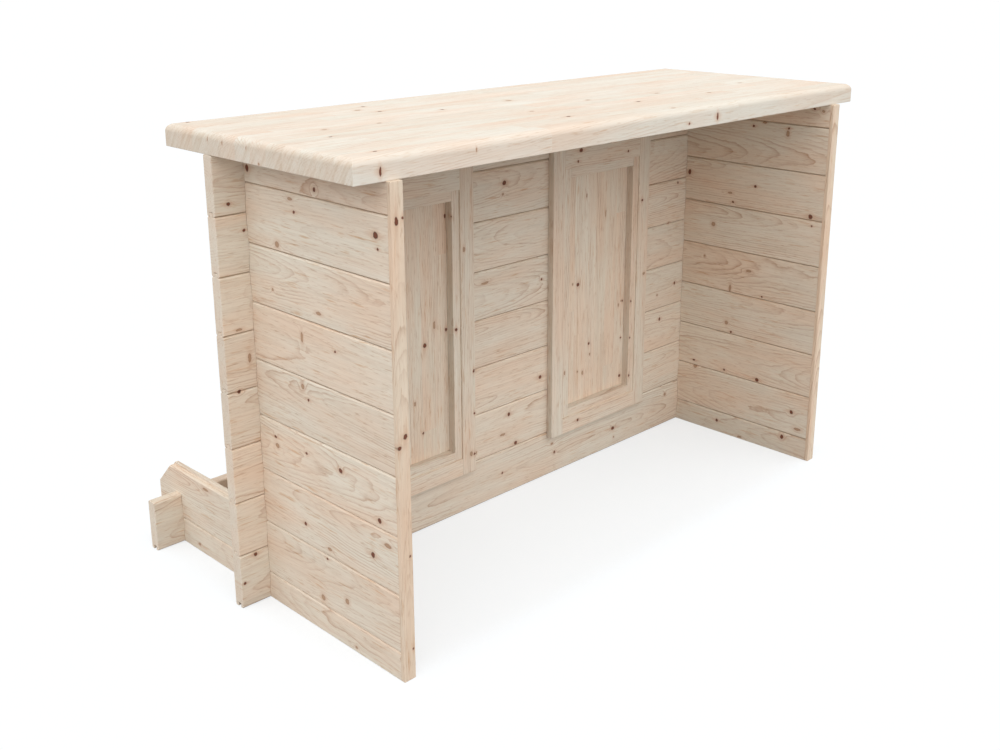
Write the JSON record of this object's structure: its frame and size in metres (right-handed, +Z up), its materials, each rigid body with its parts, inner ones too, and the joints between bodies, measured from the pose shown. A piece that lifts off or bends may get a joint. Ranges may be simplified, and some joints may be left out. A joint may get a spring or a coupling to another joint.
{
  "type": "garden bar",
  "caption": "Free-standing outdoor bar of interlocking softwood log boards: thick rounded counter, open service bay, framed recessed panels in the long wall and a log footrest for guests.",
  "frame": {"origin": "middle of the footprint's bounding box, on the ground", "axes": "+Z up, +X along the counter, +Y towards the customers' side with the footrest; the open service bay faces -Y"},
  "size_m": [1.6, 0.9, 1.013],
  "materials": {
    "counter": "matte, untreated",
    "long_logs": "matte, untreated",
    "side_logs": "matte, untreated",
    "trim": "matte, untreated",
    "casing": "matte, untreated",
    "liner": "matte, untreated",
    "panel": "matte, untreated"
  },
  "bodies": {
    "root": {"counter_top": "counter", "long_wall_log_1": "long_logs", "long_wall_log_2": "long_logs", "long_wall_log_3": "long_logs", "long_wall_log_4": "long_logs", "long_wall_log_5": "long_logs", "long_wall_log_6": "long_logs", "long_wall_log_7": "long_logs", "long_wall_log_8": "long_logs", "left_wall_bottom_log": "side_logs", "left_wall_log_1": "side_logs", "left_wall_log_2": "side_logs", "left_wall_log_3": "side_logs", "left_wall_log_4": "side_logs", "left_wall_log_5": "side_logs", "left_wall_log_6": "side_logs", "left_wall_log_7": "side_logs", "left_wall_top_log": "side_logs", "right_wall_bottom_log": "side_logs", "right_wall_log_1": "side_logs", "right_wall_log_2": "side_logs", "right_wall_log_3": "side_logs", "right_wall_log_4": "side_logs", "right_wall_log_5": "side_logs", "right_wall_log_6": "side_logs", "right_wall_log_7": "side_logs", "right_wall_top_log": "side_logs", "footrest_board": "long_logs", "left_end_trim": "trim", "right_end_trim": "trim", "left_panel": "panel", "left_liner_stiles": "liner", "left_liner_rails": "liner", "left_near_casing_stiles": "casing", "left_near_casing_rails": "casing", "left_far_casing_stiles": "casing", "left_far_casing_rails": "casing", "right_panel": "panel", "right_liner_stiles": "liner", "right_liner_rails": "liner", "right_near_casing_stiles": "casing", "right_near_casing_rails": "casing", "right_far_casing_stiles": "casing", "right_far_casing_rails": "casing"}
  },
  "joints": []
}
